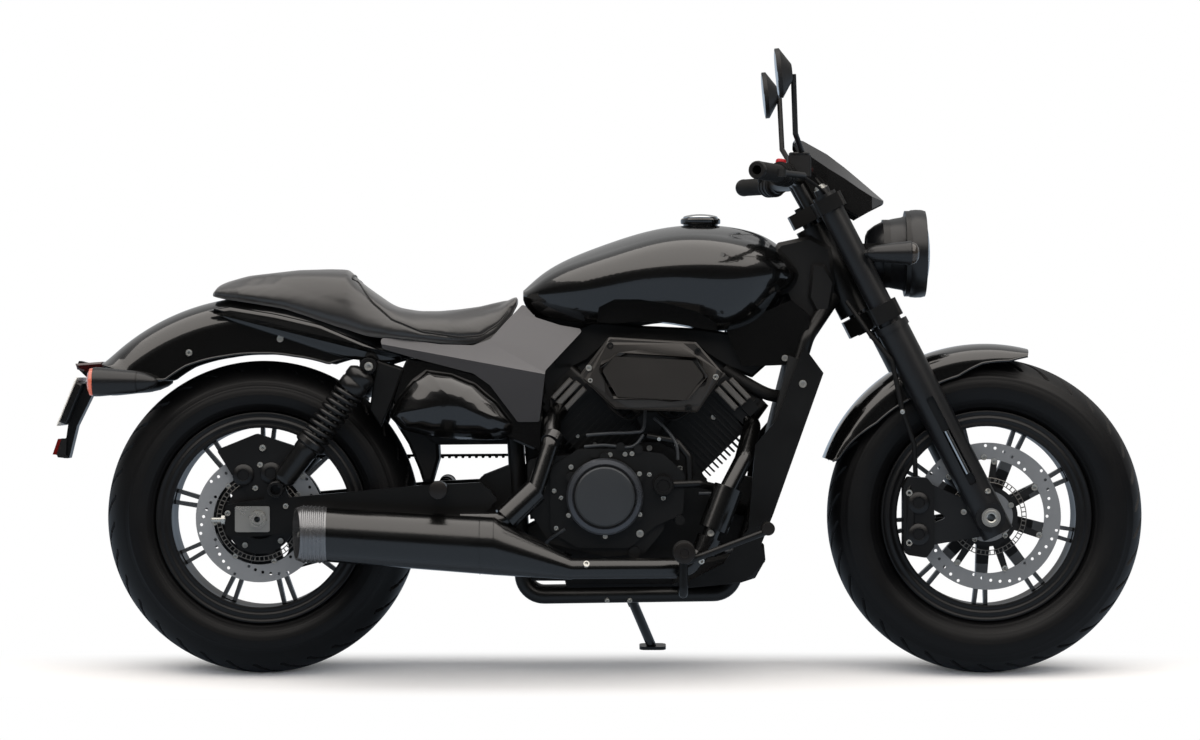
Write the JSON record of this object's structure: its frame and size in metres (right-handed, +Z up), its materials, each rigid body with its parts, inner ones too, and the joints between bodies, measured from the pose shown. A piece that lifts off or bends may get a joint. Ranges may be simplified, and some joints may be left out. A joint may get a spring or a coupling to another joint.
{
  "type": "cruiser motorcycle",
  "caption": "Black V-twin cruiser motorcycle with a low stepped seat, round headlamp and fly screen, cast split-spoke wheels and a side exhaust, leaning on its side stand.",
  "frame": {"origin": "bottom centre of the bounding box, on the ground", "axes": "+X is forward, +Y is to the rider's left and +Z is up; the machine leans 7 degrees to the left on its side stand"},
  "size_m": [2.2339, 0.841, 1.29],
  "materials": {
    "gloss_black": "gloss",
    "satin_graphite": "satin",
    "black_frame": "satin",
    "fork_black": "satin",
    "engine_black": "matte",
    "cleaner_black": "satin",
    "cast_black": "satin",
    "black_plastic": "matte",
    "disc_steel": "satin",
    "caliper_black": "satin",
    "axle_steel": "satin",
    "exhaust_black": "matte",
    "tip_steel": "satin",
    "core_black": "matte",
    "shock_black": "satin",
    "tyre_rubber": "matte",
    "grip_rubber": "matte",
    "belt_rubber": "matte",
    "pulley_alloy": "satin",
    "seat_vinyl": "matte",
    "lamp_glass": "gloss",
    "red_lens": "gloss",
    "plate_alloy": "satin"
  },
  "bodies": {
    "chassis": {"air_cleaner": "cleaner_black", "clutch_cover": "engine_black", "cylinder_front": "engine_black", "cylinder_rear": "engine_black", "drive_belt": "belt_rubber", "engine_cases": "engine_black", "exhaust_headers": "exhaust_black", "footrests": "black_frame", "frame_cradle_left": "black_frame", "frame_cradle_right": "black_frame", "frame_spine": "black_frame", "fuel_tank": "gloss_black", "muffler": "exhaust_black", "muffler_tip": "tip_steel", "number_plate": "plate_alloy", "plate_holder": "black_frame", "radiator": "core_black", "radiator_shroud": "black_frame", "rear_axle": "axle_steel", "rear_caliper": "caliper_black", "rear_fender": "gloss_black", "rear_indicators": "black_frame", "rear_reflector": "red_lens", "seat": "seat_vinyl", "shocks": "shock_black", "side_panels": "satin_graphite", "side_pods": "gloss_black", "swingarm": "black_frame", "tank_cover": "gloss_black"},
    "rear_wheel": {"rear_tyre": "tyre_rubber", "rear_rim": "cast_black", "rear_disc": "disc_steel", "rear_pulley": "pulley_alloy"},
    "front_wheel": {"front_tyre": "tyre_rubber", "front_rim": "cast_black", "front_disc": "disc_steel"},
    "steering": {"fork_yokes": "black_frame", "fork_leg_left": "fork_black", "fork_leg_right": "fork_black", "front_axle": "axle_steel", "front_caliper": "caliper_black", "front_fender": "gloss_black", "handlebar": "black_frame", "grips": "grip_rubber", "hand_controls": "black_plastic", "mirrors": "black_plastic", "headlamp": "black_frame", "headlamp_lens": "lamp_glass", "fly_screen": "black_plastic", "instrument": "black_plastic", "front_indicators": "black_frame", "brake_hose": "belt_rubber"},
    "side_stand": {"side_stand": "black_frame"},
    "fuel_cap": {"fuel_cap": "axle_steel"}
  },
  "joints": [
    {"name": "rear_wheel_spin", "type": "hinge", "parent": "chassis", "child": "rear_wheel", "pos_m": [-0.686, -0.06822, 0.31911], "axis": [0, 0.9925, -0.1219], "continuous": true},
    {"name": "steering_turn", "type": "hinge", "parent": "chassis", "child": "steering", "pos_m": [0.48429, -0.00641, 0.82251], "axis": [-0.4571, 0.1084, 0.8828], "range_deg": [-33, 33]},
    {"name": "front_wheel_spin", "type": "hinge", "parent": "steering", "child": "front_wheel", "pos_m": [0.794, -0.06786, 0.32209], "axis": [0, 0.9925, -0.1219], "continuous": true},
    {"name": "side_stand_fold", "type": "hinge", "parent": "chassis", "child": "side_stand", "pos_m": [0.064, 0.03908, 0.14272], "axis": [0.1139, 0.7442, 0.6582], "range_deg": [0, 107.1]},
    {"name": "fuel_cap_lift", "type": "slide", "parent": "chassis", "child": "fuel_cap", "axis": [0, 0.1219, 0.9925], "range_m": [0, 0.06]}
  ]
}
